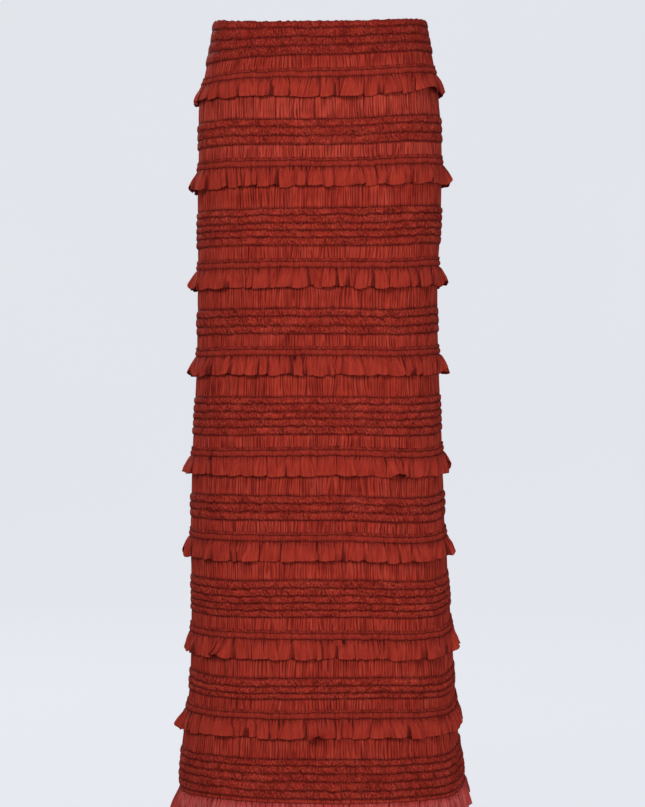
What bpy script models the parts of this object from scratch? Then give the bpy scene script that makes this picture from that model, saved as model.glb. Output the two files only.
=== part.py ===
"""Tiered ruffle maxi skirt, hollow and in its worn shape, in metres with +Z up.

The origin is the middle of the waist opening, level with the side seams' upper ends.
The front faces -Y and the wearer's left side is at +X.  Nine shirred tiers, each a
front and a back piece, are joined one below the other down to the hem.  A gathered
ruffle is stitched over each tier seam, and a sheer ruffle finishes the hem.  Heights
are drops below the origin, measured down the centre front.
"""

import math
from collections import namedtuple

import bmesh
import bpy
from mathutils import Vector

# Driving dimensions
MM = 0.001
TIER_CLOTH = 1.8 * MM  # gathered cloth of a tier
RUFFLE_CLOTH = 1.2 * MM  # single gathered strip
SEAM_GAP = 0.3 * MM  # between pieces that are sewn edge to edge
LAP_GAP = 0.5 * MM  # between a ruffle and the tier that it lies on
PUFF_RISE = 2.4 * MM  # how far a shirred band stands proud of the plain cloth
HEADING_RISE = 4.0 * MM  # turned upper edge of a ruffle, above the tier seam
HEADING_DROP = 7.5 * MM  # from the tier seam to the ruffle's lower gathering line
RUFFLE_FALL = 24.5 * MM  # free cloth below the lower gathering line
RUFFLE_FLARE = 4.5 * MM  # mean stand-off of a ruffle's free edge
RUFFLE_WAVE = 2.5 * MM  # how far the free edge waves either side of that
HEM_FLARE = 9.0 * MM
HEM_WAVE = 3.0 * MM
ROUNDNESS = 2.35  # exponent of the cross-sections, where 2 is an ellipse
HITCH_START = -0.55  # sine of the angle, in front of +X, at which a row starts to be hitched up,
HITCH_END = 0.1  # and of the angle behind it at which the hitch is whole
SEAM_SWING_LEFT = math.radians(14)  # how far the side seams swing to the front at the hem,
SEAM_SWING_RIGHT = math.radians(8)  # on the wearer's left and on the wearer's right
TIER_COLUMNS = 12  # facets round half of the skirt
FOLDS_PER_COLUMN = 2  # ruffle facets on each facet of a tier
SHARP_ANGLE = math.radians(35)  # cloth folds softer than this are shaded smooth

# The worn body at a drop: half widths towards -X and +X, depths to the front and the
# back, how far a level row rises from the centre front to -X, to +X and to the back,
# how far it sags below that line between the centre and each side, and how far it is
# hitched up beside the side seam at +X.
Section = namedtuple(
    "Section",
    "drop minus_x plus_x front back rise_minus_x rise_plus_x rise_back sag_minus_x sag_plus_x hitch",
)
SECTIONS = [
    Section(10, 135, 135, 95, 92, 11, 13, 14, 4, 2, 0),
    Section(54, 145, 143, 101, 101, -2, 15, 14, 0, 0, 0),
    Section(105, 154, 151, 105, 113, 2, 15, 12, -1, 0, 0),
    Section(165, 155, 155, 106, 121, 2, 13, 9, -1, -1, 0),
    Section(245, 156, 155, 106, 121, 2, 10, 5, 0, 0, 0),
    Section(340, 156, 150, 106, 116, 0, 6, 2, 1, 2, 0),
    Section(450, 158, 152, 107, 112, -1, 2, 0, 0, 2, 1),
    Section(550, 163, 156, 108, 110, -2, 1, 0, 0, 4, 4),
    Section(650, 165, 160, 110, 111, 1, -2, 0, 2, 4, 6),
    Section(750, 164, 166, 112, 114, 1, -2, 0, 2, 3, 11),
    Section(850, 167, 172, 115, 117, 1, -4, 0, 2, 1, 15),
    Section(920, 176, 177, 118, 120, 1, -2, 0, 1, 1, 17),
    Section(975, 179, 184, 121, 123, 3, 0, 0, 0, 0, 18),
    Section(1003, 178, 184, 122, 124, 3, 0, 0, 0, 0, 18),
]

# Each tier from its top edge to its seam, with the shirred band that lies in it.
Tier = namedtuple("Tier", "name top band_top band_bottom seam")
TIERS = [
    Tier("tier_1", 10, 10, 54, 74),
    Tier("tier_2", 74, 134, 166, 186),
    Tier("tier_3", 186, 245, 290, 310),
    Tier("tier_4", 310, 368, 399, 418),
    Tier("tier_5", 418, 477, 523, 543),
    Tier("tier_6", 543, 600, 630, 648),
    Tier("tier_7", 648, 704, 750, 769),
    Tier("tier_8", 769, 824, 850, 867),
    Tier("tier_9", 867, 925, 973, 979),
]

# Finishes, with linear colours
Finish = namedtuple("Finish", "colour roughness")
SHIRRED_CLOTH = Finish((0.28, 0.025, 0.017, 1.0), 0.78)
FRILL_CLOTH = Finish((0.32, 0.029, 0.019, 1.0), 0.72)
SHEER_CLOTH = Finish((0.36, 0.048, 0.036, 1.0), 0.66)


def clear_scene():
    for thing in list(bpy.data.objects):
        bpy.data.objects.remove(thing)


def cloth_material(name, finish):
    material = bpy.data.materials.new(name)
    material.use_nodes = True
    shader = material.node_tree.nodes["Principled BSDF"]
    shader.inputs["Base Color"].default_value = finish.colour
    shader.inputs["Roughness"].default_value = finish.roughness
    shader.inputs["Metallic"].default_value = 0.0
    return material


def section_at(drop):
    """The section at a drop in metres, read straight between the table's rows."""
    wanted = min(max(drop / MM, SECTIONS[0].drop), SECTIONS[-1].drop)
    for upper, lower in zip(SECTIONS, SECTIONS[1:]):
        if wanted <= lower.drop:
            share = (wanted - upper.drop) / (lower.drop - upper.drop)
            return Section(*[(a + (b - a) * share) * MM for a, b in zip(upper, lower)])
    return Section(*[value * MM for value in SECTIONS[-1]])


def hitch_share(along):
    """How much of the hitch a place has, eased from 0 to 1 on its way round the side."""
    share = min(max((along - HITCH_START) / (HITCH_END - HITCH_START), 0.0), 1.0)
    return share * share * (3 - 2 * share)


def body_point(angle, drop, outwards=0.0):
    """The body at an angle from +X towards the back, moved outwards along its level normal."""
    ring = section_at(drop)
    across, along = math.cos(angle), math.sin(angle)
    half_width = ring.plus_x if across > 0 else ring.minus_x
    half_depth = ring.back if along > 0 else ring.front
    x = math.copysign(half_width * abs(across) ** (2 / ROUNDNESS), across)
    y = math.copysign(half_depth * abs(along) ** (2 / ROUNDNESS), along)
    to_side, to_end = abs(x) / half_width, abs(y) / half_depth
    normal = Vector((
        math.copysign(to_side ** (ROUNDNESS - 1) / half_width, across),
        math.copysign(to_end ** (ROUNDNESS - 1) / half_depth, along),
        0.0,
    )).normalized()
    side_rise = ring.rise_plus_x if across > 0 else ring.rise_minus_x
    back_rise = ring.rise_back if along > 0 else 0.0
    sag = ring.sag_plus_x if across > 0 else ring.sag_minus_x
    rise = side_rise * to_side**2 + back_rise * to_end**2 - 4 * sag * to_side**2 * (1 - to_side**2)
    if across > 0:
        rise += ring.hitch * hitch_share(along) * (to_side if along > 0 else 1.0)
    return Vector((x, y, rise - drop)) + normal * outwards


def seam_angles(side, drop):
    """The angles of the two side seams that bound the front or the back piece at a drop."""
    swing = drop / (SECTIONS[-1].drop * MM)
    left_seam = -SEAM_SWING_LEFT * swing
    right_seam = math.pi + SEAM_SWING_RIGHT * swing
    if side == "front":
        return right_seam - 2 * math.pi, left_seam
    return left_seam, right_seam


def row_of(side, drop, outwards, columns):
    """Points from seam to seam, held half a seam gap back from each side seam."""
    start, end = seam_angles(side, drop)
    row = []
    for step in range(columns + 1):
        angle = start + (end - start) * step / columns
        row.append(body_point(angle, drop, outwards))
    row[0] = row[0] + (row[1] - row[0]).normalized() * SEAM_GAP / 2
    row[-1] = row[-1] + (row[-2] - row[-1]).normalized() * SEAM_GAP / 2
    return row


def split_row(row, parts):
    """The same row with each facet divided into equal parts, so that it stays on the facets."""
    finer = []
    for a, b in zip(row, row[1:]):
        finer += [a.lerp(b, part / parts) for part in range(parts)]
    return finer + [row[-1]]


def cloth_wall(name, outer, inner, finish, owner):
    """One closed wall between an outer and an inner grid of points of the same size."""
    shell = bmesh.new()
    skins = [[[shell.verts.new(point) for point in row] for row in grid] for grid in (outer, inner)]
    rows, columns = len(outer), len(outer[0])
    for skin in skins:
        for r in range(rows - 1):
            for c in range(columns - 1):
                shell.faces.new((skin[r][c], skin[r][c + 1], skin[r + 1][c + 1], skin[r + 1][c]))
    out, back = skins
    for c in range(columns - 1):
        for r in (0, rows - 1):
            shell.faces.new((out[r][c], out[r][c + 1], back[r][c + 1], back[r][c]))
    for r in range(rows - 1):
        for c in (0, columns - 1):
            shell.faces.new((out[r][c], out[r + 1][c], back[r + 1][c], back[r][c]))
    bmesh.ops.recalc_face_normals(shell, faces=shell.faces)
    mesh = bpy.data.meshes.new(name)
    shell.to_mesh(mesh)
    shell.free()
    mesh.materials.append(cloth_material(f"{name}_cloth", finish))
    mesh.shade_smooth()
    mesh.set_sharp_from_angle(angle=SHARP_ANGLE)
    piece = bpy.data.objects.new(name, mesh)
    bpy.context.scene.collection.objects.link(piece)
    piece.parent = owner
    return piece


def tier_rows(tier):
    """Drops and stand-offs of a tier's rows: plain cloth, with the shirred band bulging."""
    top = tier.top * MM
    if tier is not TIERS[0]:
        top += SEAM_GAP
    rows = [(top, 0.0)]
    if tier.band_top > tier.top:
        rows.append((tier.band_top * MM, 0.0))
    rows.append(((tier.band_top + tier.band_bottom) / 2 * MM, PUFF_RISE))
    rows.append((tier.band_bottom * MM, 0.0))
    rows.append((tier.seam * MM, 0.0))
    return rows


def make_tier(tier, side, owner):
    outer = [row_of(side, drop, rise, TIER_COLUMNS) for drop, rise in tier_rows(tier)]
    inner = [row_of(side, drop, rise - TIER_CLOTH, TIER_COLUMNS) for drop, rise in tier_rows(tier)]
    return cloth_wall(f"{tier.name}_{side}", outer, inner, SHIRRED_CLOTH, owner)


def lying_row(side, tier, drop):
    """A row of the finished tier's own outer facets at a drop, as a ruffle lies on them."""
    rows = tier_rows(tier)
    for (above, rise_above), (below, rise_below) in zip(rows, rows[1:]):
        if above - SEAM_GAP <= drop <= below + SEAM_GAP:
            upper = row_of(side, above, rise_above, TIER_COLUMNS)
            lower = row_of(side, below, rise_below, TIER_COLUMNS)
            share = (drop - above) / (below - above)
            return [a.lerp(b, share) for a, b in zip(upper, lower)]
    raise ValueError(f"{tier.name} has no row at {drop}")


def moved_out(side, drop, row, distances):
    """The row's points, each moved along the body's level normal by its own distance."""
    start, end = seam_angles(side, drop)
    moved = []
    for step, (point, distance) in enumerate(zip(row, distances)):
        angle = start + (end - start) * step / (len(row) - 1)
        normal = body_point(angle, drop, 1.0) - body_point(angle, drop, 0.0)
        moved.append(point + normal * distance)
    return moved


def wave(count, middle, height):
    """Stand-offs along a free edge that swing out and in from one facet to the next."""
    return [middle + height * (1 if step % 2 else -1) for step in range(count)]


def make_ruffle(number, side, owner):
    """A strip that lies on the cloth along its heading and waves free below it."""
    upper_tier, lower_tier = TIERS[number - 1], TIERS[number]
    seam = upper_tier.seam * MM
    places = [
        (upper_tier, seam - HEADING_RISE, False),
        (lower_tier, seam + HEADING_DROP, False),
        (lower_tier, seam + HEADING_DROP + RUFFLE_FALL, True),
    ]
    grids = {}
    for skin, lift in (("inner", LAP_GAP), ("outer", LAP_GAP + RUFFLE_CLOTH)):
        grid = []
        for tier, drop, free in places:
            row = split_row(lying_row(side, tier, drop), FOLDS_PER_COLUMN)
            distances = [lift] * len(row)
            if free:
                distances = [lift + d for d in wave(len(row), RUFFLE_FLARE, RUFFLE_WAVE)]
            grid.append(moved_out(side, drop, row, distances))
        grids[skin] = grid
    return cloth_wall(f"ruffle_{number}_{side}", grids["outer"], grids["inner"], FRILL_CLOTH, owner)


def make_hem_ruffle(side, owner):
    """The last strip, joined edge to edge below the lowest tier and flaring free."""
    top = TIERS[-1].seam * MM + SEAM_GAP
    bottom = SECTIONS[-1].drop * MM
    grids = {}
    for skin, depth in (("outer", 0.0), ("inner", -RUFFLE_CLOTH)):
        joined = split_row(row_of(side, top, depth, TIER_COLUMNS), FOLDS_PER_COLUMN)
        free = split_row(row_of(side, bottom, depth, TIER_COLUMNS), FOLDS_PER_COLUMN)
        free = moved_out(side, bottom, free, wave(len(free), HEM_FLARE, HEM_WAVE))
        grids[skin] = [joined, free]
    return cloth_wall(f"hem_ruffle_{side}", grids["outer"], grids["inner"], SHEER_CLOTH, owner)


def main():
    clear_scene()
    waist = bpy.data.objects.new("waist_origin", None)
    bpy.context.scene.collection.objects.link(waist)
    for side in ("front", "back"):
        for tier in TIERS:
            make_tier(tier, side, waist)
        for number in range(1, len(TIERS)):
            make_ruffle(number, side, waist)
        make_hem_ruffle(side, waist)


main()
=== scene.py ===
import math

import bmesh
import bpy
import numpy as np
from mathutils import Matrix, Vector


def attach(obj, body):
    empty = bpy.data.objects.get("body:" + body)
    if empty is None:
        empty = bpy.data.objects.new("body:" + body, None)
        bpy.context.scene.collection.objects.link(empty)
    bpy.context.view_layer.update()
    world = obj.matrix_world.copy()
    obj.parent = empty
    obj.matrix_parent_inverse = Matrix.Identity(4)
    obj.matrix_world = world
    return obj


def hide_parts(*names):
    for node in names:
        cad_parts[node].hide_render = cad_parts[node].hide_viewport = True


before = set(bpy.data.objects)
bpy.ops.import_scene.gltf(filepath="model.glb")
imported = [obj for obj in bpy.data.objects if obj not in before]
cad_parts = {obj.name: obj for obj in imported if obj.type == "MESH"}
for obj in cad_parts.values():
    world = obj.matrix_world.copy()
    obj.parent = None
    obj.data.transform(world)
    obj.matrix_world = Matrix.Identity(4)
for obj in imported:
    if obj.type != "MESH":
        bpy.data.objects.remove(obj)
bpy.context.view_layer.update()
millimetre = 0.001
print("frame loaded:", len(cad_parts), "cloth solids")

# the worn form is the same as the frame's: an oval section for each drop below the origin
worn = {
    "roundness": 2.35,          # 2 is an ellipse, more is squarer
    "seamSwingLeft": 14.0,      # degrees that a side seam swings to the front at the hem
    "seamSwingRight": 8.0,
    "length": 1003.0,           # centre front, origin to hem, in mm
    "hitchStart": -0.55,        # sines of the angles past +X between which a hitch eases in
    "hitchEnd": 0.1,
    "lineSway": 1.1,            # how far the sewn lines wander up and down, in mm
    "lineSwayStep": 95.0,       # and over what length
}
# drop, half widths to -X and +X, depths to the front and back, rise of a level row at -X, +X and the back,
# its sag between the centre and -X, and between the centre and +X, and its hitch beside the +X seam, mm
sectionTable = np.array([
    (10, 135, 135, 95, 92, 11, 13, 14, 4, 2, 0),
    (54, 145, 143, 101, 101, -2, 15, 14, 0, 0, 0),
    (105, 154, 151, 105, 113, 2, 15, 12, -1, 0, 0),
    (165, 155, 155, 106, 121, 2, 13, 9, -1, -1, 0),
    (245, 156, 155, 106, 121, 2, 10, 5, 0, 0, 0),
    (340, 156, 150, 106, 116, 0, 6, 2, 1, 2, 0),
    (450, 158, 152, 107, 112, -1, 2, 0, 0, 2, 1),
    (550, 163, 156, 108, 110, -2, 1, 0, 0, 4, 4),
    (650, 165, 160, 110, 111, 1, -2, 0, 2, 4, 6),
    (750, 164, 166, 112, 114, 1, -2, 0, 2, 3, 11),
    (850, 167, 172, 115, 117, 1, -4, 0, 2, 1, 15),
    (920, 176, 177, 118, 120, 1, -2, 0, 1, 1, 17),
    (975, 179, 184, 121, 123, 3, 0, 0, 0, 0, 18),
    (1003, 178, 184, 122, 124, 3, 0, 0, 0, 0, 18),
], float)


def softStep(x):                # 3x^2 - 2x^3 between 0 and 1
    x = np.clip(x, 0, 1)
    return x * x * (3 - 2 * x)


def wander(seed, x, y=0.0):     # smooth noise from -1 to 1: random heights on a unit lattice, eased between
    heights = np.random.default_rng(seed).uniform(-1, 1, 8192)
    x, y = np.broadcast_arrays(np.asarray(x, float), np.asarray(y, float))
    column, row = np.floor(x).astype(int), np.floor(y).astype(int)
    easeX, easeY = softStep(x - column), softStep(y - row)

    def at(dx, dy):
        return heights[((column + dx) * 127 + (row + dy) * 2909) % 8192]

    upper = at(0, 0) + (at(1, 0) - at(0, 0)) * easeX
    lower = at(0, 1) + (at(1, 1) - at(0, 1)) * easeX
    return upper + (lower - upper) * easeY


def sectionAt(drop):            # cubic through the table's rows, with the slope of each row's neighbours
    knots, values = sectionTable[:, 0], sectionTable[:, 1:]
    slopes = np.gradient(values, knots, axis=0)
    drop = np.clip(drop, knots[0], knots[-1])
    i = np.clip(np.searchsorted(knots, drop) - 1, 0, len(knots) - 2)
    gap = (knots[i + 1] - knots[i])[..., None]
    t = (drop[..., None] - knots[i][..., None]) / gap
    return (
        values[i] * (1 + 2 * t) * (1 - t) ** 2 + slopes[i] * gap * t * (1 - t) ** 2
        + values[i + 1] * t * t * (3 - 2 * t) + slopes[i + 1] * gap * t * t * (t - 1)
    )


def seamAngles(side, drop):     # where the front or the back starts and ends at a drop
    swing = np.clip(drop / worn["length"], 0, 1)
    left = -math.radians(worn["seamSwingLeft"]) * swing
    right = math.pi + math.radians(worn["seamSwingRight"]) * swing
    return (right - 2 * math.pi, left) if side == "front" else (left, right)


def ringPoint(angle, drop, out):
    # x = a cos^(2/n) and y = b sin^(2/n), then out along the level normal.  With u = (x/a)^2, v = (y/b)^2,
    # a side's rise goes with u, the back's with v, a sag with 4u(1 - u), the hitch with a step; mm in, m out
    angle, drop, out = np.broadcast_arrays(angle, np.asarray(drop, float), out)
    section = np.moveaxis(sectionAt(drop), -1, 0)
    minusX, plusX, front, back, riseMinus, risePlus, riseBack, sagMinus, sagPlus, hitch = section
    across, along = np.cos(angle), np.sin(angle)
    halfWidth = np.where(across > 0, plusX, minusX)
    halfDepth = np.where(along > 0, back, front)
    toSide = np.abs(across) ** (2 / worn["roundness"])
    toEnd = np.abs(along) ** (2 / worn["roundness"])
    normalX = np.sign(across) * toSide ** (worn["roundness"] - 1) / halfWidth
    normalY = np.sign(along) * toEnd ** (worn["roundness"] - 1) / halfDepth
    steep = np.hypot(normalX, normalY)
    u, v = toSide**2, toEnd**2
    rise = np.where(across > 0, risePlus, riseMinus) * u + np.where(along > 0, riseBack, 0) * v
    rise = rise - 4 * np.where(across > 0, sagPlus, sagMinus) * u * (1 - u)
    hitched = softStep((along - worn["hitchStart"]) / (worn["hitchEnd"] - worn["hitchStart"]))
    rise = rise + np.where(across > 0, hitch, 0) * hitched * np.where(along > 0, toSide, 1)
    x = np.sign(across) * halfWidth * toSide + normalX / steep * out
    y = np.sign(along) * halfDepth * toEnd + normalY / steep * out
    return np.stack([x, y, rise - drop], -1) * millimetre


def halfRound(side, drop):
    # the arc length of a half at a drop, and the table from shares of its arc to shares of its angle
    start, end = seamAngles(side, drop)
    share = np.linspace(0, 1, 801)
    points = ringPoint(start + (end - start) * share, drop, 0.0) / millimetre
    run = np.concatenate([[0], np.cumsum(np.linalg.norm(np.diff(points, axis=0), axis=1))])
    return run[-1], run / run[-1], share


def onBody(side, middleDrop, share, drop, out):
    # a place at an even share of the half's arc and a drop, with the sewn lines' slow sway added
    arc, runShare, angleShare = halfRound(side, middleDrop)
    share, drop, out = np.broadcast_arrays(share, drop, out)
    start, end = seamAngles(side, drop)
    angle = start + (end - start) * np.interp(share, runShare, angleShare)
    seed = 11 if side == "front" else 12
    sway = worn["lineSway"] * wander(seed, share * arc / worn["lineSwayStep"], drop / 60)
    held = softStep(share * 12) * softStep((1 - share) * 12)
    return ringPoint(angle, drop + sway * held, out)


def gridFaces(first, rows, columns):
    # quads of a grid of vertices, facing out where the columns run round the body and the rows run down it
    index = first + np.arange(rows * columns).reshape(rows, columns)
    corners = [index[:-1, :-1], index[1:, :-1], index[1:, 1:], index[:-1, 1:]]
    return index, np.stack(corners, -1).reshape(-1, 4)


def rimFaces(outerEdge, innerEdge, every):  # one face for each step of the coarser inner edge
    return [
        np.concatenate([outerEdge[a:b + 1], innerEdge[i + 1:i - 1 if i else None:-1]])
        for i, (a, b) in enumerate(zip(every[:-1], every[1:]))
    ]


def shell(name, outer, inner, innerRows, innerColumns, creaseShade, puff, uv, material):
    # an outer and an inner skin, joined all round; the inner one keeps only some of the rows and columns
    rows, columns = outer.shape[:2]
    outIndex, outFaces = gridFaces(0, rows, columns)
    inIndex, inFaces = gridFaces(rows * columns, len(innerRows), len(innerColumns))
    rims = rimFaces(outIndex[0], inIndex[0], innerColumns)
    rims += [face[::-1] for face in rimFaces(outIndex[-1], inIndex[-1], innerColumns)]
    rims += [face[::-1] for face in rimFaces(outIndex[:, 0], inIndex[:, 0], innerRows)]
    rims += rimFaces(outIndex[:, -1], inIndex[:, -1], innerRows)
    corners = np.concatenate([outFaces.ravel(), inFaces[:, ::-1].ravel(), *rims])
    sizes = np.concatenate([np.full(len(outFaces) + len(inFaces), 4), [len(face) for face in rims]])
    pick = np.ix_(innerRows, innerColumns)
    points = np.concatenate([outer.reshape(-1, 3), inner.reshape(-1, 3)])
    layers = {"creaseShade": (creaseShade, creaseShade[pick]), "puff": (puff, puff[pick])}
    allUv = np.concatenate([uv.reshape(-1, 2), uv[pick].reshape(-1, 2)])
    mesh = bpy.data.meshes.new(name)
    mesh.vertices.add(len(points))
    mesh.vertices.foreach_set("co", points.astype(np.float32).ravel())
    mesh.loops.add(len(corners))
    mesh.polygons.add(len(sizes))
    mesh.polygons.foreach_set("loop_start", np.concatenate([[0], np.cumsum(sizes)[:-1]]).astype(np.int32))
    mesh.polygons.foreach_set("vertices", corners.astype(np.int32))
    mesh.update(calc_edges=True)
    mesh.validate()
    for label, (onOuter, onInner) in layers.items():
        values = np.concatenate([onOuter.ravel(), onInner.ravel()]).astype(np.float32)
        mesh.attributes.new(label, "FLOAT", "POINT").data.foreach_set("value", values)
    places = mesh.uv_layers.new(name="cloth")
    places.data.foreach_set("uv", allUv[corners].astype(np.float32).ravel())
    mesh.shade_smooth()
    mesh.materials.append(material)
    piece = bpy.data.objects.new(name, mesh)
    bpy.context.scene.collection.objects.link(piece)
    return piece


class Wire:                     # a node's output, with the arithmetic that the finishes use
    def __init__(self, finish, socket):
        self.finish = finish
        self.socket = socket

    def maths(self, operation, first, second=0.0):
        return self.finish.node("Math", {"operation": operation}, {0: first, 1: second})

    def __add__(self, other):
        return self.maths("ADD", self, other)

    def __radd__(self, other):
        return self.maths("ADD", other, self)

    def __sub__(self, other):
        return self.maths("SUBTRACT", self, other)

    def __rsub__(self, other):
        return self.maths("SUBTRACT", other, self)

    def __mul__(self, other):
        return self.maths("MULTIPLY", self, other)

    def __rmul__(self, other):
        return self.maths("MULTIPLY", other, self)

    def sine(self):
        return self.maths("SINE", self)

    def size(self):
        return self.maths("ABSOLUTE", self)

    def between(self, low, high):   # 0 at low, 1 at high, eased
        eased = {"interpolation_type": "SMOOTHSTEP"}
        return self.finish.node("MapRange", eased, {0: self, 1: low, 2: high})


class Finish:                   # a material with one Principled shader
    def __init__(self, name, **plain):
        self.material = bpy.data.materials.new(name)
        self.material.use_nodes = True
        self.tree = self.material.node_tree
        self.shader = self.tree.nodes["Principled BSDF"]
        for socket, value in plain.items():
            self.shader.inputs[socket.replace("_", " ")].default_value = value

    def node(self, kind, settings, sockets, output=0):
        made = self.tree.nodes.new("ShaderNode" + kind)
        for setting, value in settings.items():
            setattr(made, setting, value)
        for socket, value in sockets.items():
            self.feed(made.inputs[socket], value)
        return Wire(self, made.outputs[output])

    def feed(self, socket, value):
        if isinstance(value, Wire):
            self.tree.links.new(value.socket, socket)
        else:
            socket.default_value = value

    def blendColours(self, share, first, second):
        return self.node("Mix", {"data_type": "RGBA"}, {0: share, 6: first, 7: second}, 2)

    def lay(self, socket, value):
        self.feed(self.shader.inputs[socket], value)


clothFinish = {
    "threadPitch": 0.32,        # mm between the voile's threads
    "gatherPitch": 1.5,         # mm between the finest gathers
    "gatherLength": 24.0,       # mm that one of them runs down
    "wormPitch": 3.7,           # mm across the loops of the crinkles on a puff
    "patchSize": 30.0,          # mm across a paler patch
    "streakWidth": 5.0,         # mm across a streak of deeper or paler dye
    "patchPale": 0.5,           # how far a patch and a streak turn pale, and how strong the painted highlight on a crinkle's top is, 0 to 1
    "streakPale": 0.5,
    "crinkleHighlight": 0.4,
    "crinkleShade": 0.75,       # and how far the painted shade at a crinkle's foot and in a fine gather, a streak and a patch turn dark
    "gatherShade": 0.55,
    "streakShade": 0.3,
    "patchShade": 0.2,
    "waistShade": 0.22,         # and the cloth near the waist's edge, and the painted shade near the hem where the light falls off
    "footShade": 0.08,
    "bump": 1.6,                # mm from the lowest to the highest of the bump
    "roughness": 0.86,
    "sheen": 0.03,
    "sheenRoughness": 0.5,
    "gloss": 0.1,
}


def dye(red, green, blue):      # a display colour from 0 to 255, made linear
    return tuple(((c / 255 + 0.055) / 1.055) ** 2.4 for c in (red, green, blue)) + (1.0,)


def clothMaterial(name, dyes, alpha=None, paleTier=0.0):
    # colour: main, paler in soft patches and streaks and with a painted highlight on the crinkles' tops,
    # darker in streaks and patches and with painted shade in the crinkles and fine gathers, darkest on the
    # stitch lines and in the painted shade of creases; bump: threads crossing at right angles, fine gathers
    # down the cloth, looping crinkles on the puffs
    main, pale, dark, stitchLineAndCreaseShade = [dye(*parts) for parts in dyes]
    finish = Finish(name, Roughness=clothFinish["roughness"], Sheen_Weight=clothFinish["sheen"],
                    Sheen_Roughness=clothFinish["sheenRoughness"], Specular_IOR_Level=clothFinish["gloss"])
    finish.shader.inputs["Sheen Tint"].default_value = pale
    uv = finish.node("UVMap", {"uv_map": "cloth"}, {})
    across = finish.node("SeparateXYZ", {}, {0: uv}, 0)
    down = finish.node("SeparateXYZ", {}, {0: uv}, 1)
    creaseShade = finish.node("Attribute", {"attribute_name": "creaseShade"}, {}, 2)
    puff = finish.node("Attribute", {"attribute_name": "puff"}, {}, 2)

    def noise(pitchAcross, pitchDown, detail):
        scaled = {0: across * (1 / pitchAcross), 1: down * (1 / pitchDown), 2: 0.0}
        place = finish.node("CombineXYZ", {}, scaled)
        return finish.node("TexNoise", {}, {"Vector": place, "Scale": 1.0, "Detail": detail})

    gathers = noise(clothFinish["gatherPitch"], clothFinish["gatherLength"], 1.0)
    worms = (noise(clothFinish["wormPitch"], clothFinish["wormPitch"] * 1.2, 1.0) - 0.5).size()
    patches = noise(clothFinish["patchSize"], clothFinish["patchSize"] * 0.8, 2.0)
    streaks = noise(clothFinish["streakWidth"], 70.0, 1.0)
    turn = 2 * math.pi / clothFinish["threadPitch"]
    threads = (across * turn).sine() + (down * turn).sine()
    plain = 1 - puff
    level = finish.node("SeparateXYZ", {}, {0: finish.node("TexCoord", {}, {}, 3)}, 2)
    waist = level.between(-0.075, -0.045)       # metres above the origin
    foot = 1 - level.between(-0.98, -0.8)
    paleness = patches.between(0.45, 0.68) * clothFinish["patchPale"]
    paleness = paleness + streaks.between(0.5, 0.72) * plain * clothFinish["streakPale"]
    # painted highlight on the crinkles' tops, where the bump stands highest
    paleness = paleness + worms.between(0.1, 0.26) * puff * clothFinish["crinkleHighlight"]
    if paleTier:                # the second tier's upper plain cloth
        upperPlain = level.between(-0.215, -0.165) * (1 - level.between(-0.1, -0.07)) * plain
        paleness = paleness + upperPlain * paleTier
    colour = finish.blendColours(paleness, main, pale)
    # painted shade at the crinkles' feet and in the fine gathers' valleys, where the bump is lowest; streaks
    # and patches are deeper dye
    shade = worms.between(0.08, 0.0) * puff * clothFinish["crinkleShade"]
    shade = shade + gathers.between(0.54, 0.34) * plain * clothFinish["gatherShade"]
    shade = shade + streaks.between(0.48, 0.3) * plain * clothFinish["streakShade"]
    shade = shade + patches.between(0.48, 0.3) * clothFinish["patchShade"]
    # darker near the waist's edge, and painted shade towards the hem for the light falling off there
    shade = shade + waist * clothFinish["waistShade"] + foot * clothFinish["footShade"]
    colour = finish.blendColours(shade, colour, dark)
    # the darkest colour: stitch lines, and painted shade in creases, folds, tucks and under the free edges
    colour = finish.blendColours(creaseShade, colour, stitchLineAndCreaseShade)
    finish.lay("Base Color", colour)
    relief = gathers * plain * 0.6 + worms.between(0.0, 0.2) * puff * 0.4 + threads * 0.01
    bump = {"Height": relief, "Strength": 1.0, "Distance": clothFinish["bump"] * millimetre}
    finish.lay("Normal", finish.node("Bump", {}, bump))
    if alpha is not None:
        finish.lay("Alpha", 1 - (1 - alpha) * (1 - creaseShade) * plain * gathers.between(0.3, 0.6))
    return finish.material


# main, pale, dark, and the darkest: stitch lines and the painted shade in creases, folds and under the free
# edges
shirredDyes = [(167, 51, 36), (182, 65, 50), (112, 22, 15), (62, 7, 5)]
ruffleDyes = [(160, 49, 35), (168, 55, 41), (122, 27, 19), (62, 7, 5)]
hemDyes = [(194, 74, 69), (212, 98, 95), (142, 36, 31), (80, 12, 10)]
shirredCloth = clothMaterial("shirredCloth", shirredDyes, paleTier=0.55)
ruffleCloth = clothMaterial("ruffleCloth", ruffleDyes)
hemCloth = clothMaterial("hemCloth", hemDyes, alpha=0.8)
print("finishes made")

tierCloth = {
    "gatherFrom": 2.3,          # mm between gathers, narrowest and widest
    "gatherTo": 4.7,
    "gatherDepth": 1.1,         # mm, the deepest
    "gatherRidge": 0.5,
    "gatherLean": 1.8,          # mm that a gather strays sideways
    "undulation": 0.5,          # mm, slow waves across the plain cloth
    "puffRise": 2.4,            # mm that a puff stands up between two stitch lines
    "stitchDip": 0.3,
    "stitchWidth": 1.1,         # mm either side of a line over which the cloth dives into it
    "wrinklePitch": 4.2,        # mm between the slanting wrinkles of a puff
    "wrinkleDepth": 1.4,
    "wall": 1.9,                # mm from the plain cloth to the inner skin
    "cutFullness": 1.3,         # cut width to worn width
    "takeUp": 1.15,             # cloth in a puff to the distance between its lines
}
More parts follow.
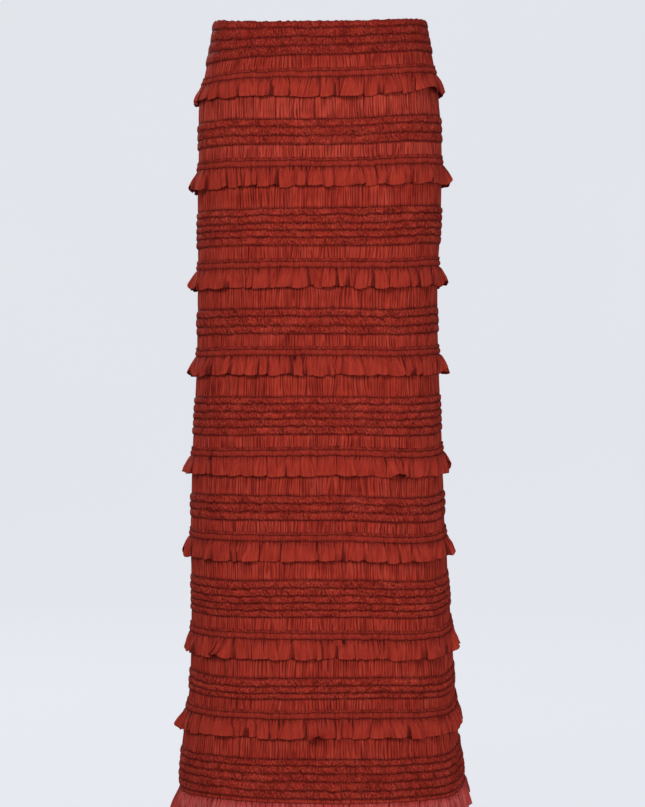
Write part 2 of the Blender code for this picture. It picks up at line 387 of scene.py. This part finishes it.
# drops of the top edge, the stitch lines and the seam, mm
tiers = [
    {"name": "tier_1", "top": 10, "lines": (10.0, 19.1, 30.5, 41.8, 53.7), "seam": 74},
    {"name": "tier_2", "top": 74, "lines": (133.8, 143.5, 154.7, 166.0), "seam": 186},
    {"name": "tier_3", "top": 186, "lines": (245.0, 253.6, 263.4, 272.0, 280.6, 290.4), "seam": 310},
    {"name": "tier_4", "top": 310, "lines": (368.0, 377.9, 388.9, 398.8), "seam": 418},
    {"name": "tier_5", "top": 418, "lines": (476.7, 485.3, 495.2, 504.0, 514.0, 524.0), "seam": 543},
    {"name": "tier_6", "top": 543, "lines": (599.7, 609.6, 619.5, 630.0), "seam": 648},
    {"name": "tier_7", "top": 648, "lines": (704.0, 714.0, 723.8, 732.4, 741.0, 749.5), "seam": 769},
    {"name": "tier_8", "top": 769, "lines": (823.8, 833.6, 842.2, 849.7), "seam": 867},
    {"name": "tier_9", "top": 867, "lines": (924.6, 933.2, 943.0, 952.9, 964.0, 973.8), "seam": 979},
]


def tierRows(tier):
    # drops of a tier's rows: sparse behind the ruffle, close round each stitch line
    lines, width = tier["lines"], tierCloth["stitchWidth"]
    drops = []
    if lines[0] > tier["top"] + 1:
        drops += [tier["top"] + 0.3, tier["top"] + 16, tier["top"] + 28]
        drops += list(np.linspace(tier["top"] + 34, lines[0] - 4, 4)) + [lines[0] - width]
    for a, b in zip(lines, lines[1:]):
        drops += [a, a + width, a + (b - a) * 0.28, (a + b) / 2, b - (b - a) * 0.28, b - width]
    last, seam = lines[-1], tier["seam"]
    below = np.linspace(last + 3, seam, 5 if seam - last > 10 else 2)
    return np.array(drops + [last, last + width] + list(below))


def gatherColumns(arc, seed):   # a valley, then two columns of ridge, for every gather
    low, high = tierCloth["gatherFrom"], tierCloth["gatherTo"]
    steps = np.random.default_rng(seed).uniform(low, high, int(arc / (low + high) * 2))
    valleys = np.concatenate([[0], np.cumsum(steps)])
    valleys /= valleys[-1]
    return np.interp(np.arange(3 * len(steps) + 1) / 3, np.arange(len(valleys)), valleys)


def tierRelief(lines, share, drop, arc, seed):
    # how far out each place is, and how creased: a valley at each gather of the plain cloth, and between two
    # lines a puff that rises as a flattened sine, less the deeper of two slanting families of wrinkles
    column = np.arange(share.shape[1])
    valley = (column % 3 == 0).astype(float)
    chance = np.random.default_rng(seed + 1).random((6, share.shape[1] // 3 + 1))[:, column // 3]
    run = share * arc
    above, below = lines[0], lines[-1]
    # each gather has its own depth above and below the band, and some fade before one end of the plain cloth
    deep = 0.35 + 0.65 * np.where(drop < above, chance[0], chance[1])
    height = np.where(drop < above, (above - drop) / 27, (drop - below) / 20)
    fade = np.where(chance[2] > 0.45, 1.0, softStep(np.where(chance[2] > 0.22, height, 1 - height) * 2))
    settle = softStep(height * 5) * 0.6 + 0.4
    plain = valley * -tierCloth["gatherDepth"] * deep * fade * settle
    plain = plain + (1 - valley) * tierCloth["gatherRidge"] * (chance[3] - 0.35) * settle
    plain = plain + tierCloth["undulation"] * wander(seed + 2, run / 13, drop / 22)
    # painted shade in each gather's valley, by its depth and fade
    plainCrease = np.clip(valley * deep * fade + (1 - valley) * (chance[4] - 0.6) * 0.8, 0, 1)
    plainCrease = plainCrease * np.where(drop > below, min(1.0, (drop.max() - below) / 15), 1.0)
    line = np.clip(np.searchsorted(lines, drop, side="right") - 1, 0, len(lines) - 2)
    starts, ends = np.array(lines)[line], np.array(lines)[line + 1]
    t = np.clip((drop - starts) / (ends - starts), 0, 1)
    bulge = np.sin(math.pi * t) ** 0.45
    # two families of wrinkles slant across a puff and stray, and the deeper of the two shows
    ridges = []
    for family, lean in ((0, 0.9), (1, -1.1)):
        slant = lean + 0.9 * wander(seed + 20 + family, run / 15, line * 5.3)
        stray = 0.8 * wander(seed + 30 + family, run / 5.5, line * 3.1 + t * 1.6)
        pitch = tierCloth["wrinklePitch"] * (1 + 0.3 * family)
        phase = run / pitch + slant * (t - 0.5) + stray + line * 0.37
        strength = np.clip(0.6 + 0.8 * wander(seed + 40 + family, run / 6.5, line * 7.7 + t * 1.2), 0, 1)
        ridges.append((1 - np.abs(np.sin(math.pi * phase))) ** 1.6 * strength)
    wrinkle = np.maximum(*ridges)
    puffed = bulge * tierCloth["puffRise"] * (0.85 + 0.3 * wander(seed + 6, run / 9, line * 4.1))
    puffed = puffed - tierCloth["wrinkleDepth"] * wrinkle * (0.4 + 0.6 * bulge)
    # painted shade in the wrinkles' valleys
    puffCrease = wrinkle * (0.6 + 0.4 * bulge)
    inBand = (drop >= above) & (drop <= below)
    onLine = np.isclose(drop[..., None], np.array(lines), atol=0.05).any(-1)
    beside = (np.abs(drop[..., None] - np.array(lines)).min(-1) < tierCloth["stitchWidth"] * 1.2) & ~onLine
    out = np.where(inBand, puffed, plain)
    out = np.where(onLine, -tierCloth["stitchDip"] * (1 + 0.6 * wander(seed + 10, run / 3)), out)
    creaseShade = np.where(inBand, puffCrease, plainCrease)
    # a stitch line is dark, partly its thread and partly painted shade, and darkest where a gather runs into
    # it
    lineCrease = 0.86 + 0.4 * wander(seed + 7, run / 2.7, drop / 5) + 0.3 * valley * chance[5]
    creaseShade = np.where(onLine, lineCrease, creaseShade)
    # painted shade where the cloth dives into a line
    besideLine = 0.42 + 0.45 * valley * chance[0] + 0.15 * wander(seed + 14, run / 4, drop)
    creaseShade = np.where(beside, np.maximum(creaseShade * 0.8, besideLine), creaseShade)
    return out, np.clip(creaseShade, 0, 1), inBand.astype(float)


def makeTier(number, side):
    # the gathers' columns by the tier's rows, each place moved out by the relief, sideways by its gather's
    # lean and down by the wobble of its line
    tier = tiers[number]
    seed = 1000 + 100 * number + (0 if side == "front" else 50)
    drops = tierRows(tier)
    middle = (tier["top"] + tier["seam"]) / 2
    arc = halfRound(side, middle)[0]
    columns = gatherColumns(arc, seed)
    drop, share = np.meshgrid(drops, columns, indexing="ij")
    lines = tier["lines"]
    out, creaseShade, puff = tierRelief(lines, share, drop, arc, seed)
    lean = tierCloth["gatherLean"] / arc * wander(seed + 8, share * arc / 11, drop / 24)
    leant = share + lean * softStep(share * 20) * softStep((1 - share) * 20)
    # the lines waver in small steps inside the band, and sway slowly, but not at the top or the seam
    run = share * arc
    wobble = 0.7 * wander(seed + 9, run / 9, drop * 0.13) + 0.8 * wander(seed + 13, run / 3.4, drop * 0.2)
    wobble = wobble * ((drop > lines[0] + 2) & (drop < lines[-1] - 2))
    slow = 0.6 * wander(seed + 15, run / 17, drop / 40)
    wobble = wobble + slow * np.interp(drop, [tier["top"], lines[0], lines[-1], tier["seam"]], [0, 1, 1, 0])
    if number == 0:             # the waist's edge is drawn up into small scallops by its gathers
        creaseShade[0] = creaseShade[0] * 0.2
        wobble[0] = 0.8 * wander(seed + 12, columns * arc / 3.6)
    outer = onBody(side, middle, leant, drop + wobble, out)
    lineRows = [int(np.abs(drops - line).argmin()) for line in lines]
    innerRows = sorted({0, len(drops) - 1, *lineRows, *range(0, lineRows[0], 3)})
    innerColumns = list(range(0, len(columns), 3))
    pick = np.ix_(innerRows, innerColumns)
    lifted = np.interp(drop[pick], [lines[0], lines[0] + 3, lines[-1] - 3, lines[-1]], [0, 0.6, 0.6, 0])
    inner = onBody(side, middle, leant[pick], (drop + wobble)[pick], lifted - tierCloth["wall"])
    uv = np.stack([share * arc + 600 * (side == "back"), -drop], -1)
    name = f"{tier['name']}_{side}"
    piece = shell(name + "_cloth", outer, inner, innerRows, innerColumns, creaseShade, puff, uv, shirredCloth)
    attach(piece, "root")
    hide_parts(name)
    return piece


for number in range(len(tiers)):
    for side in ("front", "back"):
        makeTier(number, side)
    print("tier", number + 1, "made")

ruffle = {
    "heading": 3.9,             # mm of turned edge above the upper gathering line
    "channel": 7.4,             # mm between the two gathering lines
    "fall": 25.0,               # mm of free cloth below them
    "flatFrom": 4.0,            # mm of flat cloth between folds, least and most
    "flatTo": 34.0,
    "flatBias": 1.7,            # over 1, there are more short flats than long ones
    "foldTurn": 1.8,            # radians that the free edge turns back at a strong fold
    "foldTuck": 3.6,            # mm of cloth that a fold tucks under
    "foldCurve": 1.3,           # mm of cloth in each of its two turns
    "flatTilt": 0.3,            # radians that a flat stretch may lie aslant
    "lean": 0.12,               # radians that the free cloth leans out
    "leanNoise": 0.11,          # and how much more or less one flat stretch does
    "skew": 4.6,                # mm that a fold slants sideways on its way down
    "edgeStep": 1.3,            # mm that one flat hangs lower or higher than the next
    "cusp": 1.7,                # mm that a fold draws the free edge up
    "scallop": 0.9,             # mm that the edge hangs down between two folds
    "ripple": 1.0,              # mm, soft waves down the free cloth
    "ripplePitch": 4.5,
    "wing": 5.8,                # mm that the free edge stands out beside a side seam
    "wingPeak": 4.0,            # mm from the seam to where it stands out most
    "wingReach": 15.0,          # and to where it lies back again
    "wingGrowth": 0.85,         # 1 where it grows evenly on the way down, less where it starts sooner
    "lift": 9.0,                # mm that the free edge is drawn up at a side seam
    "liftReach": 11.0,
    "tuckDepth": 1.5,           # mm, small gathers below the gathering line
    "tuckPitch": 4.2,
    "wall": 0.6,
    "columns": 500,
    "cutFullness": 1.4,
}
hem = {"fall": 27.0, "flatFrom": 3.0, "flatTo": 13.0, "foldTurn": 1.7, "foldTuck": 2.0, "lean": 0.16,
       "leanNoise": 0.1, "edgeStep": 0.6, "cusp": 1.0, "scallop": 0.5, "wing": 5.0, "lift": 3.0}
# flips: which ruffle, which side, share of the half, half width in mm, how far the edge curls up in radians
flips = [
    (1, "front", 0.85, 13, 0.9),
    (5, "front", 0.75, 8, 1.1),
    (7, "front", 0.2, 9, 1.0),
    (8, "front", 0.5, 8, 1.1),
    (2, "back", 0.3, 9, 1.0),
    (4, "back", 0.66, 9, 1.1),
    (6, "back", 0.42, 8, 1.0),
    (8, "back", 0.75, 10, 1.0),
]


def foldPlan(length, seed, spec):
    # places of the folds along the cut edge, how far each turns, the share of the fall at which it starts,
    # and a random tilt, skew, lean and length for each flat between
    rng = np.random.default_rng(seed)
    low, high = spec["flatFrom"], spec["flatTo"]
    steps = low + (high - low) * rng.random(int(2 * length / low)) ** spec["flatBias"]
    places = np.cumsum(steps + spec["foldTuck"])
    places = places[places < length - 2 * spec["foldTuck"]]
    way = np.where(np.arange(len(places)) % 2, -1, 1) * np.where(rng.random(len(places)) < 0.12, -1, 1)
    turns = spec["foldTurn"] * way * rng.choice([0.4, 0.7, 0.9, 1.0], len(places))
    starts = np.clip(rng.uniform(-0.9, 0.5, len(places)), -0.2, 1)
    return places, turns, starts, rng.uniform(-1, 1, (4, len(places) + 1))


def overFlats(run, places, values):     # each flat's own value, eased across the fold to the next flat's
    return values[0] + (softStep((run[:, None] - places) / 3.5) * np.diff(values)).sum(1)


def wingAt(distance, spec):     # 0 at the seam, whole at the peak, eased back to 0 at its reach
    peak, reach = spec["wingPeak"], spec["wingReach"]
    return softStep(distance / peak) * softStep((reach - distance) / (reach - peak))


def slowPart(rows, reach):      # each row's running mean over twice the reach, in samples
    window = np.hanning(2 * reach + 1) / np.hanning(2 * reach + 1).sum()
    return np.array([np.convolve(np.pad(row, reach, mode="edge"), window, "valid") for row in rows])


def fallingCloth(side, arc, seed, spec, rows, freeFrom, flipsHere):
    # the cloth's rows, from heading to free edge.  Round the body each row is a path whose direction swings
    # with the folds, more so towards the free edge; down the body it leans out by the common lean, by its
    # flat's own and by the flips
    length = arc * spec["cutFullness"]
    places, turns, starts, chance = foldPlan(length, seed, spec)
    curve = spec["foldCurve"]
    free = np.clip((rows - freeFrom) / (rows[-1] - freeFrom), 0, 1)[:, None]
    reached = softStep((free - starts) / 0.35) * free**0.4

    def folded(run):
        into = softStep((run[:, None] - places) / curve)
        outOf = softStep((run[:, None] - places - curve - spec["foldTuck"]) / curve)
        return (into - outOf) * turns

    # samples along the cut edge, closer together where it turns
    run = np.linspace(0, length, 6001)
    dense = np.cumsum(1 + 3.0 * np.abs(np.gradient(folded(run).sum(1), run)))
    perColumn = 4
    run = np.interp(np.linspace(dense[0], dense[-1], perColumn * spec["columns"] + 1), dense, run)
    bend = reached @ folded(run).T + spec["flatTilt"] * free**0.6 * overFlats(run, places, chance[0])
    bend = bend * softStep(run / 22) * softStep((length - run) / 22)
    # how far along and out the bends take it, less the slow drift, so that a fold stays where it is gathered
    step = np.diff(run, prepend=0.0)
    along = np.cumsum(np.cos(bend) * step, 1)
    along = along * (arc / along[:, -1:])
    place = run / length * arc
    along = along - slowPart(along - place, 250)
    outward = np.cumsum(np.sin(bend) * step, 1) * 0.8
    outward = np.tanh((outward - slowPart(outward, 160)) / 3.2) * 3.2
    keep = slice(None, None, perColumn)
    run, place, bend = run[keep], place[keep], bend[:, keep]
    along, outward = along[:, keep], outward[:, keep]
    held = softStep(place / arc * 15) * softStep((1 - place / arc) * 15)
    along = place + (along - place) * held
    share = (along + spec["skew"] * overFlats(run, places, chance[1]) * free * held) / arc
    lean = spec["lean"] * (2.2 - 2.2 * free) + spec["leanNoise"] * overFlats(run, places, chance[2])
    lean = lean + 0.1 * wander(seed + 5, place / 9, rows[:, None] / 9)
    for centre, half, curl in flipsHere:
        near = np.exp(-(((place - centre * arc) / half) ** 4))
        lean = lean + curl * near * softStep((free - 0.3) / 0.6)
    lean = lean * (rows > freeFrom)[:, None]
    fall = np.diff(rows, prepend=rows[0])[:, None]
    drop = np.cumsum(fall * np.cos(lean), 0)
    fromFold, strong = run[:, None] - places - curve, np.abs(turns)
    drawnUp = (np.exp(-((fromFold / 3.5) ** 2)) * strong / spec["foldTurn"]).sum(1)
    # each flat hangs to its own length, in a shallow curve from fold to fold
    edges = np.concatenate([[0], places, [length]])
    flat = np.clip(np.searchsorted(edges, run, side="right") - 1, 0, len(places))
    width = edges[flat + 1] - edges[flat]
    across = (run - edges[flat]) / width
    hang = 4 * across * (1 - across) * np.clip(width / 22, 0.2, 1) - 0.4
    stepped = spec["edgeStep"] * overFlats(run, places, chance[3]) + spec["scallop"] * hang
    drop = drop + free**2 * (stepped - spec["cusp"] * drawnUp)
    out = np.cumsum(fall * np.sin(lean), 0) + outward
    ripples = wander(seed + 11, run / spec["ripplePitch"], free * 1.3)
    out = out + spec["ripple"] * ripples * (0.35 + 0.65 * free)
    # the two ends stand out beside the side seams and are drawn up
    wings = spec["wing"] * (1 + 0.5 * wander(seed + 12, [0.5, 7.5]))
    lifts = spec["lift"] * np.clip(0.75 + 0.7 * wander(seed + 18, [2.5, 9.5]), 0.1, 1.2)
    drop = drop - free * (lifts[0] * softStep(1 - place / spec["liftReach"])
                          + lifts[1] * softStep(1 - (arc - place) / spec["liftReach"]))
    winged = wings[0] * wingAt(place, spec) + wings[1] * wingAt(arc - place, spec)
    out = out + winged * free ** spec["wingGrowth"]
    # painted shade where the cloth turns, and a painted shadow along each fold, strongest at the gathers or
    # at the free edge
    nearFold = np.exp(-((fromFold / 1.1) ** 2))
    strength = np.where(chance[2][1:] > 0.1, 1.35 - 1.15 * free, 0.35 + 0.9 * free)
    foldShadowLine = (strength * strong / spec["foldTurn"]) @ nearFold.T
    foldShade = np.maximum(softStep((np.abs(bend) - 0.55) / 0.9), foldShadowLine)
    return share, drop, out, free, run, foldShade


def tucks(run, seed, spec):
    # small gathers from the gathering line: 0 in a valley, 1 on a ridge, each with its own depth and reach
    phase = run / spec["tuckPitch"] + 0.9 * wander(seed + 6, run / 8)
    nearest = np.clip(np.round(phase), 0, None).astype(int)
    chance = np.random.default_rng(seed + 7).random((2, nearest.max() + 1))[:, nearest]
    return np.abs(np.sin(math.pi * phase)), chance[0], 0.25 + 0.75 * chance[1] ** 1.3


def makeRuffle(number, side):
    # the falling cloth under a heading, pinched to the tier at its two gathering lines by the profile, and
    # drawn in by the small gathers below them
    seam = tiers[number - 1]["seam"]
    seed = 5000 + 100 * number + (0 if side == "front" else 50)
    arc = halfRound(side, seam)[0]
    heading, channel, fall = ruffle["heading"], ruffle["channel"], ruffle["fall"]
    gatheredRows = [-heading, -1.0, 0, 1.0, channel / 2, channel - 1.0, channel, channel + 1.0]
    fallingRows = channel + fall * np.array([0.14, 0.28, 0.44, 0.6, 0.76, 0.9, 0.965, 1.0])
    rows = np.array(gatheredRows + list(fallingRows))
    mine = [flip[2:] for flip in flips if flip[:2] == (number, side)]
    share, drop, out, free, run, foldShade = fallingCloth(side, arc, seed, ruffle, rows, channel, mine)
    ridge, depth, reach = tucks(run, seed, ruffle)
    tuck = softStep(1 - free / reach) * (0.3 + 0.7 * depth)
    out = out + (ridge - 0.6) * ruffle["tuckDepth"] * tuck
    fineRidge, fineDepth, fineReach = tucks(run, seed + 60, {"tuckPitch": ruffle["tuckPitch"] * 0.6})
    fineTuck = softStep(1 - free / (0.5 * fineReach)) * fineDepth
    channelRows = ((rows > 0) & (rows < channel))[:, None]
    out = out + 0.45 * wander(seed + 13, run / 2.4, rows[:, None] / 2.5) * channelRows
    standing = [1.3, 1.3, 0.7, 1.5, 2.4, 1.5, 0.7, 1.5, 2.0]    # mm off the tier, least at the two lines
    profile = np.interp(rows, gatheredRows + [channel + 4], standing)
    low = np.interp(rows, [channel, channel + 5], [0.75, 1.2])
    out = np.maximum(out + profile[:, None], low[:, None])
    ragged = 0.4 * wander(seed + 8, run / 3.1) * (rows < -2)[:, None]
    ragged = ragged + 0.5 * wander(seed + 15, run / 12)
    ragged = ragged + 0.35 * wander(seed + 16, run / 5.5, rows[:, None] / 6)
    drop = drop + seam - heading + ragged
    outer = onBody(side, seam + 15, share, drop, out)
    inFall = np.where(rows > channel, 1.0, 0.35)[:, None]
    # painted shade in the valleys of the small gathers below the gathering lines, and along the folds
    creaseShade = ((1 - ridge) ** 1.5 * (1.4 * tuck + 0.15 * depth) + (1 - fineRidge) * fineTuck * 0.8) * inFall
    creaseShade = creaseShade + foldShade * np.where(rows > channel, 0.75, 0.08)[:, None]
    # painted shade where the cloth is drawn into the two gathering lines
    besideLine = 0.3 + 0.4 * wander(seed + 14, run / 2.1, rows[:, None])
    creaseShade = np.where((np.abs(rows) == 1.0)[:, None] | (np.abs(rows - channel) == 1.0)[:, None],
                      np.maximum(creaseShade, besideLine), creaseShade)
    # the gathering lines, partly thread and partly painted shade
    creaseShade[np.isin(rows, [0, channel])] = 0.95 + 0.25 * wander(seed + 10, run / 2.6)
    # painted shadow under the heading's top edge
    creaseShade[0] = 0.5 + 0.5 * wander(seed + 9, run / 2.2)
    # painted shadow along the free edge
    creaseShade[-1] = 0.8
    innerRows, innerColumns = [0, 6, 9, 11, 13, len(rows) - 1], list(range(len(run)))
    inner = onBody(side, seam + 15, share[innerRows], drop[innerRows], out[innerRows] - ruffle["wall"])
    uv = np.stack(np.broadcast_arrays(run, -rows[:, None] - seam), -1)
    name = f"ruffle_{number}_{side}"
    crinkled = np.clip(0.3 + 0.45 * wander(seed + 17, run / 7), 0.08, 1)        # how far down crinkles run
    crinkles = 0.9 * softStep(1.15 - free / crinkled) * np.where(rows < channel, 0.5, 1.0)[:, None]
    piece = shell(name + "_cloth", outer, inner, innerRows, innerColumns, np.clip(creaseShade, 0, 1),
                  crinkles, uv, ruffleCloth)
    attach(piece, "root")
    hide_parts(name)
    return piece


def makeHemRuffle(side):
    # the same falling cloth from a gathering line under the last seam, with narrower folds and no heading
    seam, spec = tiers[-1]["seam"], {**ruffle, **hem}
    seed = 9000 + (0 if side == "front" else 50)
    arc = halfRound(side, seam)[0]
    fallingRows = spec["fall"] * np.array([0.12, 0.24, 0.38, 0.52, 0.66, 0.8, 0.91, 1.0])
    rows = np.array([0, 0.9] + list(fallingRows))
    share, drop, out, free, run, foldShade = fallingCloth(side, arc, seed, spec, rows, 0.0, [])
    ridge, depth, reach = tucks(run, seed, spec)
    tuck = softStep(1 - free / reach) * (0.3 + 0.7 * depth)
    out = out + 0.5 + (ridge - 0.5) * spec["tuckDepth"] * tuck
    ends = np.abs(run / run[-1] * 2 - 1) ** 6
    out = np.maximum(out + ends * free * 2.0, -0.4)
    drop = drop + seam - 0.6 + (drop > 0) * 0.9
    outer = onBody(side, seam, share, drop, out)
    # painted shade in the tucks' valleys and along the folds
    creaseShade = (1 - ridge) ** 1.5 * tuck + foldShade * 0.7
    # the gathering line, partly thread and partly painted shade
    creaseShade[0] = 0.9
    opaque = np.interp(rows, [2, 6], [1, 0])[:, None] * np.ones(len(run))
    innerRows, innerColumns = list(range(len(rows))), list(range(len(run)))
    inner = onBody(side, seam, share, drop, out - spec["wall"])
    uv = np.stack(np.broadcast_arrays(run, -rows[:, None] - seam), -1)
    name = f"hem_ruffle_{side}"
    piece = shell(name + "_cloth", outer, inner, innerRows, innerColumns, np.clip(creaseShade, 0, 1),
                  opaque, uv, hemCloth)
    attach(piece, "root")
    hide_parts(name)
    return piece


for side in ("front", "back"):
    for number in range(1, len(tiers)):
        makeRuffle(number, side)
    makeHemRuffle(side)
    print("ruffles made:", side)

studio = {
    "floorDrop": 1.10,          # m below the waist
    "floorRadius": 3.6,         # m of flat floor all round, before it sweeps up into the wall
    "sweepRadius": 2.4,
    "height": 6.5,
    "backdropColour": (0.80, 0.82, 0.87),
    "backdropPaint": 0.05,      # how much of that colour the lamps light
    "backdropGlow": 0.935,      # and how much of it the backdrop gives by itself, so that it is even
    "airColour": (0.93, 0.95, 1.0, 1.0),
    "airStrength": 0.40,
    "lookFrom": 3.0,            # m in front of the skirt
    "lookDrop": 0.486,          # the camera's height below the waist
    "lookAcross": 0.0032,
    "lens": 104.4,
    # what each soft light is called, its place, what it is aimed at, its size and its watts
    "lights": [
        ("keyLight", (-0.9, -3.0, 1.0), (0, 0, -0.5), 1.2, 64.0),
        ("fillLight", (1.8, -2.7, -0.2), (0, 0, -0.6), 1.8, 32.0),
        ("backLight", (-1.3, 2.7, 1.5), (0, 0, -0.5), 1.4, 75.0),
    ],
}


def makeBackdrop():
    # a profile of floor, quarter circle and wall, turned about the skirt's axis
    flat, radius = studio["floorRadius"], studio["sweepRadius"]
    turn = np.linspace(0, math.pi / 2, 25)
    far = np.concatenate([[0.0], flat + radius * np.sin(turn), [flat + radius]])
    z = np.concatenate([[0.0], radius - radius * np.cos(turn), [studio["height"]]]) - studio["floorDrop"]
    around = np.linspace(0, 2 * math.pi, 97)
    level = np.tile(z, (len(around), 1))
    points = np.stack([np.outer(np.cos(around), far), np.outer(np.sin(around), far), level], -1)
    _, faces = gridFaces(0, len(around), len(far))
    mesh = bpy.data.meshes.new("backdrop")
    mesh.from_pydata(points.reshape(-1, 3).tolist(), [], faces[:, ::-1].tolist())
    paper = bmesh.new()
    paper.from_mesh(mesh)
    bmesh.ops.remove_doubles(paper, verts=paper.verts, dist=0.0001)
    paper.to_mesh(mesh)
    paper.free()
    mesh.shade_smooth()
    finish = Finish("backdropPaper", Roughness=0.95, Specular_IOR_Level=0.1,
                    Emission_Strength=studio["backdropGlow"])
    place = finish.node("TexCoord", {}, {}, 3)
    grain = finish.node("TexNoise", {}, {"Vector": place, "Scale": 1.3, "Detail": 2.0})
    for socket, share in (("Base Color", studio["backdropPaint"]), ("Emission Color", 1.0)):
        colour = tuple(part * share for part in studio["backdropColour"]) + (1.0,)
        deeper = tuple(part * share * 0.985 for part in studio["backdropColour"]) + (1.0,)
        finish.lay(socket, finish.blendColours(grain, colour, deeper))
    mesh.materials.append(finish.material)
    backdrop = bpy.data.objects.new("backdrop", mesh)
    backdrop.visible_diffuse = backdrop.visible_glossy = backdrop.visible_shadow = False
    bpy.context.scene.collection.objects.link(backdrop)


def makeLights():
    world = bpy.data.worlds.new("studioAir")
    world.use_nodes = True
    world.node_tree.nodes["Background"].inputs["Color"].default_value = studio["airColour"]
    world.node_tree.nodes["Background"].inputs["Strength"].default_value = studio["airStrength"]
    bpy.context.scene.world = world
    for name, place, target, size, watts in studio["lights"]:
        light = bpy.data.lights.new(name, "AREA")
        light.shape, light.size, light.energy = "DISK", size, watts
        lamp = bpy.data.objects.new(name, light)
        lamp.location = place
        lamp.rotation_euler = (Vector(target) - Vector(place)).to_track_quat("-Z", "Y").to_euler()
        lamp.visible_camera = False
        bpy.context.scene.collection.objects.link(lamp)


def makeCamera():
    lens = bpy.data.cameras.new("camera")
    lens.lens, lens.sensor_width = studio["lens"], 36.0
    camera = bpy.data.objects.new("camera", lens)
    camera.location = (studio["lookAcross"], -studio["lookFrom"], -studio["lookDrop"])
    camera.rotation_euler = (math.radians(90), 0, 0)
    bpy.context.scene.collection.objects.link(camera)
    bpy.context.scene.camera = camera


makeBackdrop()
makeLights()
makeCamera()
bpy.context.scene.view_settings.view_transform = "Standard"
print("studio made")
